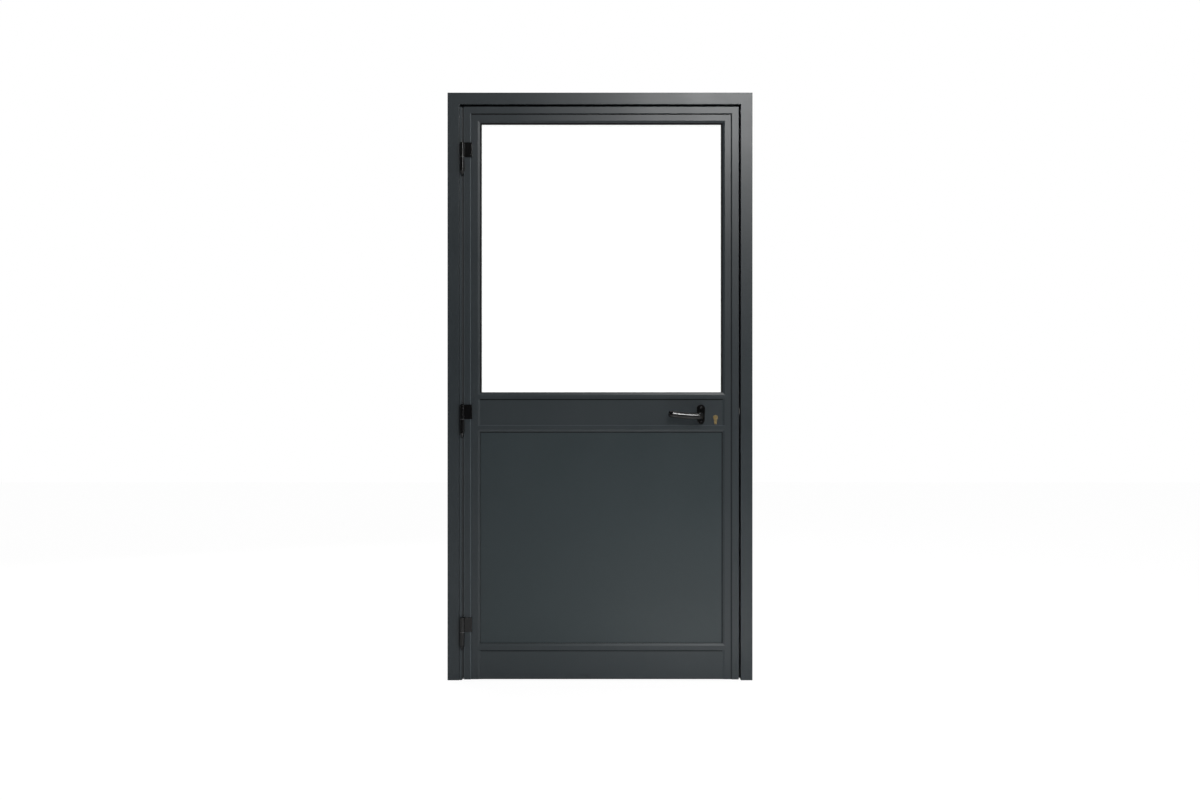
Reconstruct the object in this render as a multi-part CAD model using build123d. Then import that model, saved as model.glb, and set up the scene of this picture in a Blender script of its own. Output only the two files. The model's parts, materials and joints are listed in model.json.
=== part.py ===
from build123d import *
import os

# A half-glazed aluminium door in its three-sided frame, without the wall.
# All sizes are in millimetres. x runs across the opening, y from the hinge side
# face (negative, towards the viewer) to the back, and z up from the floor.
# The origin is the middle of the threshold line, under the leaf's mid-plane.

# Frame
FRAME_WIDTH = 1090.0
FRAME_HEIGHT = 2100.0
FRAME_DEPTH = 56.0
FRAME_FACE = 42.0
FRAME_WALL = 2.2
STOP_REACH = 22.0
STOP_THICK = 9.0
STOP_WALL = 2.0
FILLER_THICK = 10.0
FILLER_WALL = 1.4
FILLER_SETBACK = 3.0
FILLER_GROOVE = 2.0
EDGE_RADIUS = 1.2
ANCHOR_HOLE_R = 5.0
ANCHOR_Y = 6.0
ANCHOR_INSET = 250.0
ANCHOR_COUNT = 4
CLEAT_WALL = 4.0
CLEAT_ARM = 45.0

# Leaf
LEAF_THICK = 44.0
HINGE_GAP = 6.5
LOCK_GAP = 7.0
HEAD_GAP = 8.0
FLOOR_GAP = 3.0
LEAF_WALL = 2.0
BAND_WIDTH = 25.0
BAND_STEP = 4.0
TUBE_WIDTH = 38.0
SIGHT_WIDTH = 57.5
LIP_THICK = 3.0
LIP_EDGE = 0.8
BEVEL_WIDTH = 8.0

# Rails
KICK_HEIGHT = 131.0
MID_RAIL_Z = 958.0
MID_RAIL_HEIGHT = 140.0
KICK_STRIP = 25.0
UPPER_STRIP = 23.0
LOWER_STRIP = 23.0
FLAT_SINK = 2.5
GROOVE_WIDTH = 3.0
GROOVE_DEPTH = 2.0
RAIL_WALL = 2.5
BRUSH_SLOT_WIDTH = 8.0
BRUSH_SLOT_DEPTH = 9.0
BRUSH_FLOOR_GAP = 1.0
CONNECTOR_LENGTH = 42.0

# Glazing
INFILL_THICK = 24.0
PANE_THICK = 4.0
INFILL_COVER = 12.0
SPACER_EDGE = 1.5
SPACER_SINK = 0.5
GLASS_NOSE = 6.0
PANEL_NOSE = 1.0
SILL_NOSE = 1.0
GASKET_SLOPE = 2.0
BACK_NOSE = 1.5
BEAD_EDGE_RADIUS = 2.0
BEAD_FOOT_WIDTH = 5.0
BEAD_FOOT_DEPTH = 6.0
BLOCK_LENGTH = 100.0
BLOCK_INSET = 150.0
BLOCK_TRIM = 5.0

# Stop seal
SEAL_STEM = 3.0
SEAL_STEM_DEPTH = 4.0
SEAL_TIP_INSET = 2.5
SEAL_WIDTH = 6.0
SEAL_ROUND = 1.6
SEAL_GAP = 0.3

# Hinges
HINGE_TOP_INSET = 181.0
HINGE_MIDDLE_DROP = 25.0
HINGE_BOTTOM_INSET = 170.0
HINGE_NAMES = ("top", "middle", "bottom")
KNUCKLE_R = 8.0
KNUCKLE_EDGE = 1.2
UPPER_KNUCKLE = 52.0
LOWER_KNUCKLE = 50.0
FINIAL_LENGTH = 13.0
FINIAL_TIP_R = 2.4
AXIS_FROM_EDGE = 4.8
AXIS_CLEARANCE = 0.5
WASHER_THICK = 1.0
PIN_R = 4.0
PIN_CLEARANCE = 0.06
PIN_BELOW = 32.0
PIN_ABOVE = 38.0
HINGE_PLATE = 3.0
HINGE_PLATE_BACK = 34.0
LEAF_PLATE_THICK = 5.0
LEAF_PLATE_END = 29.5
LEAF_PLATE_TRIM = 0.4
HINGE_SCREW_R = 2.4
HINGE_SCREW_LENGTH = 26.0
HINGE_SCREW_SPREAD = 15.0
HINGE_SCREW_BACK = 12.0
CLAMP_THICK = 3.0
CLAMP_LENGTH = 44.0
CLAMP_WIDTH = 18.0

# Lock and handles
SPINDLE_BACKSET = 135.0
SPINDLE_DROP = 14.0
SPINDLE_SIDE = 8.0
SPINDLE_FIT = 0.05
SPINDLE_SOCKET = 18.0
KEY_BACKSET = 83.0
KEY_DROP = 19.0
CASE_DEPTH = 166.0
CASE_THICK = 15.0
CASE_WALL = 1.5
CASE_TRIM = 1.0
FOLLOWER_R = 11.0
JOURNAL_R = 7.9
JOURNAL_FIT = 0.1
ARM_REACH = 18.0
ARM_WIDTH = 6.0
ARM_ROOM = 2.0
HOOK_GAP = 0.5
FOLLOWER_ROOM = 1.0
MOVING_GAP = 0.4
KEEPER_ROOM = 1.0
FACEPLATE_THICK = 2.5
FACEPLATE_WIDTH = 22.0
FACEPLATE_HEIGHT = 170.0
STRIKE_THICK = 2.0
STRIKE_WIDTH = 24.0
STRIKE_HEIGHT = 180.0
LATCH_RISE = 17.0
LATCH_HEIGHT = 20.0
LATCH_THICK = 11.2
LATCH_HEAD = 26.0
LATCH_PROJECTION = 9.5
LATCH_BAR = 5.0
LATCH_BEVEL = 8.0
LATCH_NOSE = 2.0
BOLT_DROP = 5.5
BOLT_HEIGHT = 20.0
BOLT_THROW = 20.0
BOLT_GUIDE = 45.0
BOLT_SINK = 1.0
ROSE_DROP = 8.0
ROSE_TOP_R = 14.5
ROSE_BOTTOM_R = 12.5
ROSE_HEIGHT = 70.0
ROSE_THICK = 8.0
ROSE_EDGE = 2.0
ROSE_FLOOR = 2.0
ROSE_SCREW_SPREAD = 26.0
ROSE_SCREW_R = 2.0
LEVER_REACH = 118.5
LEVER_PROJECTION = 55.0
LEVER_THICK = 13.0
LEVER_HEIGHT = 23.0
LEVER_BEND = 16.0
LEVER_TIP_BEND = 9.0
LEVER_RETURN = 12.0
LEVER_RISE = 7.0
LEVER_ROOM = 1.0
COLLAR_R = 12.0
COLLAR_LENGTH = 7.0
NECK_R = 9.0
PROFILE_R = 8.5
PROFILE_HEIGHT = 33.0
PROFILE_FLAG = 10.0
PROFILE_PROUD = 3.5
PROFILE_FIT = 0.3
PLUG_R = 6.5
PLUG_FIT = 0.06
CAM_HUB_R = 8.0
CAM_HALF = 4.7
CAM_R = 15.0
CAM_WIDTH = 8.0
KEYWAY_WIDTH = 1.8
KEYWAY_HEIGHT = 8.0
KEYWAY_DEPTH = 14.0
KEYWAY_DROP = 1.0
CYLINDER_SCREW_RISE = 4.2

# Fasteners
SMALL_SCREW_R = 2.0
SMALL_HEAD_R = 4.0
FACE_SCREW_LENGTH = 12.0
GRUB_SINK = 1.0
SCREW_FIT = 0.1
SEAT_FIT = 0.3

# How far a cutting shape runs past the face that it opens
OVER = 1.0

# Planes that several pieces share
FRONT = -LEAF_THICK / 2
BACK = LEAF_THICK / 2
FRAME_BACK = FRONT + FRAME_DEPTH
OPENING_X = FRAME_WIDTH / 2 - FRAME_FACE
FILLER_FACE = -OPENING_X + FILLER_THICK
LEAF_LEFT = FILLER_FACE + HINGE_GAP
LEAF_RIGHT = OPENING_X - LOCK_GAP
LEAF_TOP = FRAME_HEIGHT - FRAME_FACE - HEAD_GAP
LEAF_BOTTOM = FLOOR_GAP
INNER_BAND = FRONT + BAND_STEP
LIP_BACK = INNER_BAND + LIP_THICK
LIP_REACH = SIGHT_WIDTH - TUBE_WIDTH
FLAT_FRONT = INNER_BAND + FLAT_SINK
FLAT_BACK = -FLAT_FRONT
STOP_FACE = FRAME_BACK - STOP_THICK
INFILL_FRONT = -INFILL_THICK / 2
INFILL_BACK = INFILL_THICK / 2
BEAD_SEAT = INFILL_BACK + INFILL_FRONT - LIP_BACK
MID_BOTTOM = MID_RAIL_Z - MID_RAIL_HEIGHT / 2
MID_TOP = MID_RAIL_Z + MID_RAIL_HEIGHT / 2
SIGHT_LEFT = LEAF_LEFT + SIGHT_WIDTH
SIGHT_RIGHT = LEAF_RIGHT - SIGHT_WIDTH
GLASS_SIGHT = (SIGHT_LEFT, SIGHT_RIGHT, MID_TOP, LEAF_TOP - SIGHT_WIDTH)
PANEL_SIGHT = (SIGHT_LEFT, SIGHT_RIGHT, KICK_HEIGHT, MID_BOTTOM)
HINGE_X = LEAF_LEFT - AXIS_FROM_EDGE
HINGE_Y = FRONT - KNUCKLE_R - AXIS_CLEARANCE
HINGE_HEIGHTS = (
    LEAF_TOP - HINGE_TOP_INSET,
    MID_RAIL_Z - HINGE_MIDDLE_DROP,
    LEAF_BOTTOM + HINGE_BOTTOM_INSET,
)
SPINDLE_X = LEAF_RIGHT - SPINDLE_BACKSET
SPINDLE_Z = MID_RAIL_Z - SPINDLE_DROP
KEY_X = LEAF_RIGHT - KEY_BACKSET
KEY_Z = MID_RAIL_Z - KEY_DROP
CYLINDER_SCREW_Z = KEY_Z + PROFILE_R - PROFILE_HEIGHT + CYLINDER_SCREW_RISE
ROSE_Z = MID_RAIL_Z - ROSE_DROP
ROSE_SCREW_Z = (ROSE_Z - ROSE_SCREW_SPREAD, ROSE_Z + ROSE_SCREW_SPREAD)
LATCH_Z = SPINDLE_Z + LATCH_RISE
BOLT_Z = KEY_Z - BOLT_DROP
BOLT_HALF = BOLT_HEIGHT / 2 + MOVING_GAP
STRIKE_Z = (LATCH_Z + BOLT_Z) / 2
FACEPLATE_FRONT = LEAF_RIGHT + FACEPLATE_THICK

nodes = {}


def box(x0, x1, y0, y1, z0, z1):
    return Pos((x0 + x1) / 2, (y0 + y1) / 2, (z0 + z1) / 2) * Box(x1 - x0, y1 - y0, z1 - z0)


def rod_x(y, z, radius, x0, x1):
    return Pos((x0 + x1) / 2, y, z) * Rot(0, 90, 0) * Cylinder(radius, x1 - x0)


def rod_y(x, z, radius, y0, y1):
    return Pos(x, (y0 + y1) / 2, z) * Rot(90, 0, 0) * Cylinder(radius, y1 - y0)


def rod_z(x, y, radius, z0, z1):
    return Pos(x, y, (z0 + z1) / 2) * Cylinder(radius, z1 - z0)


def outline(*points):
    return Polygon(*points, align=None)


def soften(section, corners, radius):
    """Round the corners of a section that lie at the given points."""
    picked = [
        v
        for v in section.vertices()
        if any(abs(v.X - u) < 0.01 and abs(v.Y - w) < 0.01 for u, w in corners)
    ]
    return fillet(picked, radius)


def extrusion(section, origin, inward, along, length):
    """A profile whose first axis points inward and whose second axis is depth (y)."""
    placed = Plane(origin, x_dir=inward, z_dir=along) * section
    return extrude(placed, amount=length, dir=Vector(*along))


def mitre(bar, x, z, side, keep):
    """Cut a bar at 45 degrees through the outer corner at (x, z); side is +1 at the left."""
    return split(bar, bisect_by=Plane((x, 0, z), z_dir=(side, 0, 1)), keep=keep)


def border(sight, outside, inside, y0, y1):
    """A rectangular ring round a sight opening, from outside it to inside it."""
    x0, x1, z0, z1 = sight
    ring = box(x0 - outside, x1 + outside, y0, y1, z0 - outside, z1 + outside)
    return ring - box(
        x0 + inside, x1 - inside, y0 - OVER, y1 + OVER, z0 + inside, z1 - inside
    )


def countersunk(start, direction, radius, head_r, length):
    """A countersunk screw whose head is flush with start and whose shank runs along direction."""
    head = head_r - radius
    profile = outline((0, 0), (head_r, 0), (radius, head), (radius, length), (0, length))
    screw = revolve(Plane.XZ * profile, Axis.Z)
    return Plane(start, z_dir=direction) * screw


def frame_section():
    lip_end = FRAME_FACE + STOP_REACH
    shape = outline(
        (0, FRONT),
        (FRAME_FACE, FRONT),
        (FRAME_FACE, STOP_FACE),
        (lip_end, STOP_FACE),
        (lip_end, FRAME_BACK),
        (0, FRAME_BACK),
    )
    corners = [(FRAME_FACE, FRONT), (lip_end, STOP_FACE), (lip_end, FRAME_BACK), (0, FRONT)]
    shape = soften(shape, corners, EDGE_RADIUS)
    inner = FRAME_FACE - FRAME_WALL
    shape -= outline(
        (FRAME_WALL, FRONT + FRAME_WALL),
        (inner, FRONT + FRAME_WALL),
        (inner, FRAME_BACK - FRAME_WALL),
        (FRAME_WALL, FRAME_BACK - FRAME_WALL),
    )
    stem = lip_end - SEAL_TIP_INSET - (SEAL_WIDTH + SEAL_STEM) / 2
    shape -= outline(
        (stem, STOP_FACE - OVER),
        (stem + SEAL_STEM, STOP_FACE - OVER),
        (stem + SEAL_STEM, STOP_FACE + SEAL_STEM_DEPTH),
        (stem, STOP_FACE + SEAL_STEM_DEPTH),
    )
    chamber_end = stem - STOP_WALL
    shape -= outline(
        (FRAME_FACE, STOP_FACE + STOP_WALL),
        (chamber_end, STOP_FACE + STOP_WALL),
        (chamber_end, FRAME_BACK - STOP_WALL),
        (FRAME_FACE, FRAME_BACK - STOP_WALL),
    )
    return shape


def seal_section():
    edge = FRAME_FACE + STOP_REACH - SEAL_TIP_INSET
    nose = BACK + SEAL_GAP
    stem = edge - (SEAL_WIDTH + SEAL_STEM) / 2
    bulb = outline(
        (edge - SEAL_WIDTH, nose),
        (edge, nose),
        (edge, STOP_FACE),
        (edge - SEAL_WIDTH, STOP_FACE),
    )
    bulb = soften(bulb, [(edge - SEAL_WIDTH, nose), (edge, nose)], SEAL_ROUND)
    return bulb + outline(
        (stem, STOP_FACE),
        (stem + SEAL_STEM, STOP_FACE),
        (stem + SEAL_STEM, STOP_FACE + SEAL_STEM_DEPTH),
        (stem, STOP_FACE + SEAL_STEM_DEPTH),
    )


def three_sides(section):
    """The same profile up the left side, across the top and down the right, mitred."""
    half = FRAME_WIDTH / 2
    top = FRAME_HEIGHT
    left = extrusion(section, (-half, 0, 0), (1, 0, 0), (0, 0, 1), top)
    right = extrusion(section, (half, 0, top), (-1, 0, 0), (0, 0, -1), top)
    head = extrusion(section, (-half, 0, top), (0, 0, -1), (1, 0, 0), FRAME_WIDTH)
    left = mitre(left, -half, top, 1, Keep.BOTTOM)
    right = mitre(right, half, top, -1, Keep.BOTTOM)
    head = mitre(head, -half, top, 1, Keep.TOP)
    head = mitre(head, half, top, -1, Keep.TOP)
    return left, right, head


def keeper_windows(x0, x1):
    """The two openings that the latch and the bolt enter on the lock side."""
    y = LATCH_THICK / 2 + MOVING_GAP + KEEPER_ROOM
    latch = LATCH_HEIGHT / 2 + MOVING_GAP + KEEPER_ROOM
    bolt = BOLT_HALF + KEEPER_ROOM
    latch_window = box(x0, x1, -y, y, LATCH_Z - latch, LATCH_Z + latch)
    return latch_window + box(x0, x1, -y, y, BOLT_Z - bolt, BOLT_Z + bolt)


def plate_screws(x, direction, z_mid, height, length):
    """Two countersunk screws near the ends of an upright plate on a leaf or jamb edge."""
    spread = height / 2 - 2.5 * SMALL_HEAD_R
    return [
        countersunk((x, 0, z_mid + s * spread), direction, SMALL_SCREW_R, SMALL_HEAD_R, length)
        for s in (-1, 1)
    ]


def plate_screw_holes(x, direction, z_mid, height, length):
    spread = height / 2 - 2.5 * SMALL_HEAD_R
    return [
        countersunk(
            (x, 0, z_mid + s * spread),
            direction,
            SMALL_SCREW_R + SCREW_FIT,
            SMALL_HEAD_R + SCREW_FIT,
            length + OVER,
        )
        for s in (-1, 1)
    ]


def hinge_plate_screws(z, radius, head_r, length):
    """The two screws of one frame hinge plate, driven towards the jamb."""
    x = FILLER_FACE + HINGE_PLATE
    y = HINGE_Y + HINGE_PLATE_BACK - HINGE_SCREW_BACK
    middle = z - LOWER_KNUCKLE / 2
    return [
        countersunk((x, y, middle + s * HINGE_SCREW_SPREAD), (-1, 0, 0), radius, head_r, length)
        for s in (-1, 1)
    ]


def hinge_screw_holes():
    holes = []
    for z in HINGE_HEIGHTS:
        holes += hinge_plate_screws(
            z,
            HINGE_SCREW_R + SCREW_FIT,
            2 * HINGE_SCREW_R + SCREW_FIT,
            HINGE_SCREW_LENGTH + OVER,
        )
    return holes


def anchor_holes(side):
    """Through holes for the wall anchors, evenly spaced up one jamb and its filler."""
    outer = side * (FRAME_WIDTH / 2 + OVER)
    inner = side * (OPENING_X - FILLER_THICK - OVER)
    ends = sorted((outer, inner))
    pitch = (FRAME_HEIGHT - 2 * ANCHOR_INSET) / (ANCHOR_COUNT - 1)
    heights = [ANCHOR_INSET + i * pitch for i in range(ANCHOR_COUNT)]
    return [rod_x(ANCHOR_Y, z, ANCHOR_HOLE_R, *ends) for z in heights]


def make_filler():
    """A slim hollow profile on the hinge jamb, with a shadow groove where it meets the jamb."""
    front = FRONT + FILLER_SETBACK
    groove = front + FILLER_GROOVE
    section = outline(
        (-OPENING_X, groove),
        (-OPENING_X + FILLER_GROOVE, groove),
        (-OPENING_X + FILLER_GROOVE, front),
        (FILLER_FACE, front),
        (FILLER_FACE, STOP_FACE),
        (-OPENING_X, STOP_FACE),
    )
    section = soften(section, [(FILLER_FACE, front)], EDGE_RADIUS)
    section -= outline(
        (-OPENING_X + FILLER_WALL, groove + FILLER_WALL),
        (FILLER_FACE - FILLER_WALL, groove + FILLER_WALL),
        (FILLER_FACE - FILLER_WALL, STOP_FACE - FILLER_WALL),
        (-OPENING_X + FILLER_WALL, STOP_FACE - FILLER_WALL),
    )
    return extrude(section, amount=LEAF_TOP, dir=(0, 0, 1))


def make_frame():
    left, right, head = three_sides(frame_section())
    for hole in anchor_holes(-1) + hinge_screw_holes():
        left -= hole
    for hole in anchor_holes(1):
        right -= hole
    strike_x = OPENING_X - STRIKE_THICK
    right -= keeper_windows(strike_x, OPENING_X + FRAME_WALL + OVER)
    strike = box(
        strike_x,
        OPENING_X,
        -STRIKE_WIDTH / 2,
        STRIKE_WIDTH / 2,
        STRIKE_Z - STRIKE_HEIGHT / 2,
        STRIKE_Z + STRIKE_HEIGHT / 2,
    )
    strike -= keeper_windows(strike_x - OVER, OPENING_X + OVER)
    seat = (strike_x, (1, 0, 0), STRIKE_Z, STRIKE_HEIGHT, FACE_SCREW_LENGTH)
    for hole in plate_screw_holes(*seat):
        strike -= hole
        right -= hole
    screws = plate_screws(*seat)

    filler = make_filler()
    for hole in anchor_holes(-1) + hinge_screw_holes():
        filler -= hole

    nodes["left_jamb"] = left
    nodes["right_jamb"] = right
    nodes["head"] = head
    nodes["hinge_side_filler"] = filler
    nodes["strike_plate"] = strike
    nodes["strike_screws"] = Compound(screws)
    nodes["frame_corner_cleats"] = Compound(
        [
            corner_cleat(
                side * FRAME_WIDTH / 2,
                FRAME_HEIGHT,
                side,
                FRAME_WALL,
                FRAME_FACE - FRAME_WALL,
                FRONT + FRAME_WALL,
                FRAME_BACK - FRAME_WALL,
            )
            for side in (-1, 1)
        ]
    )
    seal_left, seal_right, seal_head = three_sides(seal_section())
    nodes["stop_seal"] = seal_left + seal_head + seal_right


def corner_cleat(x, z, side, near, far, y0, y1):
    """An L-shaped key that fills the hollows of two mitred profiles at a top corner."""
    near += SEAT_FIT
    far -= SEAT_FIT
    y0 += SEAT_FIT
    y1 -= SEAT_FIT
    reach = far + CLEAT_ARM
    upright = sorted((x - side * near, x - side * far))
    level = sorted((x - side * near, x - side * reach))
    key = box(*upright, y0, y1, z - reach, z - near) + box(*level, y0, y1, z - far, z - near)
    bore = sorted((x - side * (near + CLEAT_WALL), x - side * (reach + OVER)))
    return key - box(
        *bore,
        y0 + CLEAT_WALL,
        y1 - CLEAT_WALL,
        z - far + CLEAT_WALL,
        z - near - CLEAT_WALL,
    )


def leaf_envelope():
    """The stile and top rail profile without its hollow."""
    shape = outline(
        (0, FRONT),
        (BAND_WIDTH, FRONT),
        (BAND_WIDTH, INNER_BAND),
        (SIGHT_WIDTH - BEVEL_WIDTH, INNER_BAND),
        (SIGHT_WIDTH, LIP_BACK - LIP_EDGE),
        (SIGHT_WIDTH, LIP_BACK),
        (TUBE_WIDTH, LIP_BACK),
        (TUBE_WIDTH, BACK),
        (0, BACK),
    )
    rounded = [(0, FRONT), (BAND_WIDTH, FRONT), (0, BACK)]
    return soften(shape, rounded, EDGE_RADIUS)


def leaf_section():
    inner = TUBE_WIDTH - LEAF_WALL
    return leaf_envelope() - outline(
        (LEAF_WALL, FRONT + LEAF_WALL),
        (BAND_WIDTH - LEAF_WALL, FRONT + LEAF_WALL),
        (BAND_WIDTH - LEAF_WALL, INNER_BAND + LEAF_WALL),
        (inner, INNER_BAND + LEAF_WALL),
        (inner, BACK - LEAF_WALL),
        (LEAF_WALL, BACK - LEAF_WALL),
    )


def upright(section, left):
    length = LEAF_TOP - LEAF_BOTTOM
    if left:
        return extrusion(section, (LEAF_LEFT, 0, LEAF_BOTTOM), (1, 0, 0), (0, 0, 1), length)
    return extrusion(section, (LEAF_RIGHT, 0, LEAF_TOP), (-1, 0, 0), (0, 0, -1), length)


def rail(section):
    """A level rail between the stiles, its ends coped to their lips and bevels."""
    x0 = LEAF_LEFT + TUBE_WIDTH
    x1 = LEAF_RIGHT - TUBE_WIDTH
    bar = extrusion(section, (x1, 0, 0), (0, 0, 1), (-1, 0, 0), x1 - x0)
    envelope = leaf_envelope()
    return bar - upright(envelope, True) - upright(envelope, False)


def mid_section():
    """The mid rail: a lip with a bevel above and below, and a sunk flat on both faces."""
    low = MID_BOTTOM + LIP_REACH
    high = MID_TOP - LIP_REACH
    flat_low = MID_BOTTOM + LOWER_STRIP
    flat_high = MID_TOP - UPPER_STRIP
    groove = FLAT_FRONT + GROOVE_DEPTH
    shape = outline(
        (MID_BOTTOM, LIP_BACK),
        (MID_BOTTOM, LIP_BACK - LIP_EDGE),
        (MID_BOTTOM + BEVEL_WIDTH, INNER_BAND),
        (flat_low, INNER_BAND),
        (flat_low, FLAT_FRONT),
        (flat_high - GROOVE_WIDTH, FLAT_FRONT),
        (flat_high - GROOVE_WIDTH, groove),
        (flat_high, groove),
        (flat_high, INNER_BAND),
        (MID_TOP - BEVEL_WIDTH, INNER_BAND),
        (MID_TOP, LIP_BACK - LIP_EDGE),
        (MID_TOP, LIP_BACK),
        (high, LIP_BACK),
        (high, BACK),
        (flat_high, BACK),
        (flat_high, FLAT_BACK),
        (flat_low, FLAT_BACK),
        (flat_low, BACK),
        (low, BACK),
        (low, LIP_BACK),
    )
    return shape - outline(
        (low + LEAF_WALL, FLAT_FRONT + RAIL_WALL),
        (flat_high - GROOVE_WIDTH - RAIL_WALL, FLAT_FRONT + RAIL_WALL),
        (flat_high - GROOVE_WIDTH - RAIL_WALL, groove + LEAF_WALL),
        (high - LEAF_WALL, groove + LEAF_WALL),
        (high - LEAF_WALL, FLAT_BACK - RAIL_WALL),
        (low + LEAF_WALL, FLAT_BACK - RAIL_WALL),
    )


def kick_section():
    """The bottom rail: a strip with a bevel, a tall sunk flat and a slot for the brush."""
    high = KICK_HEIGHT - LIP_REACH
    flat_high = KICK_HEIGHT - KICK_STRIP
    groove = FLAT_FRONT + GROOVE_DEPTH
    slot = BRUSH_SLOT_WIDTH / 2
    slot_top = LEAF_BOTTOM + BRUSH_SLOT_DEPTH
    shape = outline(
        (LEAF_BOTTOM, FLAT_FRONT),
        (flat_high - GROOVE_WIDTH, FLAT_FRONT),
        (flat_high - GROOVE_WIDTH, groove),
        (flat_high, groove),
        (flat_high, INNER_BAND),
        (KICK_HEIGHT - BEVEL_WIDTH, INNER_BAND),
        (KICK_HEIGHT, LIP_BACK - LIP_EDGE),
        (KICK_HEIGHT, LIP_BACK),
        (high, LIP_BACK),
        (high, BACK),
        (flat_high, BACK),
        (flat_high, FLAT_BACK),
        (LEAF_BOTTOM, FLAT_BACK),
        (LEAF_BOTTOM, slot),
        (slot_top, slot),
        (slot_top, -slot),
        (LEAF_BOTTOM, -slot),
    )
    near = FLAT_FRONT + RAIL_WALL
    far = FLAT_BACK - RAIL_WALL
    shape -= outline(
        (slot_top + RAIL_WALL, near),
        (flat_high - GROOVE_WIDTH - RAIL_WALL, near),
        (flat_high - GROOVE_WIDTH - RAIL_WALL, groove + LEAF_WALL),
        (high - LEAF_WALL, groove + LEAF_WALL),
        (high - LEAF_WALL, far),
        (slot_top + RAIL_WALL, far),
    )
    for y0, y1 in ((near, -slot - LEAF_WALL), (slot + LEAF_WALL, far)):
        shape -= outline(
            (LEAF_BOTTOM + LEAF_WALL, y0),
            (slot_top, y0),
            (slot_top, y1),
            (LEAF_BOTTOM + LEAF_WALL, y1),
        )
    return shape


def profile_blank(y0, y1, extra):
    """The keyhole-shaped euro cylinder outline, grown by extra and run from y0 to y1."""
    radius = PROFILE_R + extra
    half = PROFILE_FLAG / 2 + extra
    bottom = KEY_Z + PROFILE_R - PROFILE_HEIGHT + PROFILE_FLAG / 2
    flag = box(KEY_X - half, KEY_X + half, y0, y1, bottom, KEY_Z)
    return rod_y(KEY_X, KEY_Z, radius, y0, y1) + flag + rod_y(KEY_X, bottom, half, y0, y1)


def case_bounds():
    half = CASE_THICK / 2
    z0 = MID_BOTTOM + LIP_REACH + LEAF_WALL + CASE_TRIM
    z1 = MID_TOP - LIP_REACH - LEAF_WALL - CASE_TRIM
    x1 = LEAF_RIGHT - LEAF_WALL - SEAT_FIT
    return LEAF_RIGHT - CASE_DEPTH, x1, -half, half, z0, z1


def bolt_slots(x0, x1):
    """Clear openings for the latch and the bolt through whatever they pass."""
    y = LATCH_THICK / 2 + MOVING_GAP
    latch = LATCH_HEIGHT / 2 + MOVING_GAP
    return box(x0, x1, -y, y, LATCH_Z - latch, LATCH_Z + latch) + box(
        x0, x1, -y, y, BOLT_Z - BOLT_HALF, BOLT_Z + BOLT_HALF
    )


def cylinder_screw(radius, head_r):
    """The long screw from the faceplate into the middle of the cylinder."""
    start = (FACEPLATE_FRONT, 0, CYLINDER_SCREW_Z)
    length = FACEPLATE_FRONT - KEY_X
    return countersunk(start, (-1, 0, 0), radius, head_r, length)


def face_holes():
    seat = (FACEPLATE_FRONT, (-1, 0, 0), STRIKE_Z, FACEPLATE_HEIGHT, FACE_SCREW_LENGTH)
    holes = plate_screw_holes(*seat)
    return holes + [cylinder_screw(SMALL_SCREW_R + SCREW_FIT, SMALL_HEAD_R + SCREW_FIT)]


def make_leaf_profiles():
    section = leaf_section()
    hinge_stile = mitre(upright(section, True), LEAF_LEFT, LEAF_TOP, 1, Keep.BOTTOM)
    lock_stile = mitre(upright(section, False), LEAF_RIGHT, LEAF_TOP, -1, Keep.BOTTOM)
    top = extrusion(
        section, (LEAF_LEFT, 0, LEAF_TOP), (0, 0, -1), (1, 0, 0), LEAF_RIGHT - LEAF_LEFT
    )
    top = mitre(top, LEAF_LEFT, LEAF_TOP, 1, Keep.TOP)
    top = mitre(top, LEAF_RIGHT, LEAF_TOP, -1, Keep.TOP)

    x0, x1, y0, y1, z0, z1 = case_bounds()
    fit = SEAT_FIT
    tube_face = LEAF_RIGHT - TUBE_WIDTH
    lock_stile -= box(tube_face - OVER, x1, y0 - fit, y1 + fit, z0 - fit, z1 + fit)
    lock_stile -= bolt_slots(x1 - OVER, LEAF_RIGHT + OVER)
    for hole in face_holes():
        lock_stile -= hole
    for z in HINGE_HEIGHTS:
        for x, level in leaf_plate_screw_points(z):
            radius = HINGE_SCREW_R + SCREW_FIT
            hinge_stile -= rod_y(x, level, radius, FRONT - OVER, FRONT + LEAF_WALL + OVER)

    mid = rail(mid_section())
    mid -= profile_blank(FRONT, BACK, PROFILE_FIT)
    mid -= rod_y(SPINDLE_X, SPINDLE_Z, NECK_R + LEVER_ROOM, FRONT, BACK)
    for z in ROSE_SCREW_Z:
        mid -= rod_y(SPINDLE_X, z, ROSE_SCREW_R + SEAT_FIT, FRONT, BACK)

    nodes["hinge_stile"] = hinge_stile
    nodes["lock_stile"] = lock_stile
    nodes["top_rail"] = top
    nodes["mid_rail"] = mid
    nodes["bottom_rail"] = rail(kick_section())
    nodes["leaf_corner_cleats"] = Compound(
        [
            corner_cleat(
                LEAF_LEFT if side < 0 else LEAF_RIGHT,
                LEAF_TOP,
                side,
                LEAF_WALL,
                TUBE_WIDTH - LEAF_WALL,
                INNER_BAND + LEAF_WALL,
                BACK - LEAF_WALL,
            )
            for side in (-1, 1)
        ]
    )
    nodes["rail_connectors"] = Compound(rail_connectors())


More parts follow.
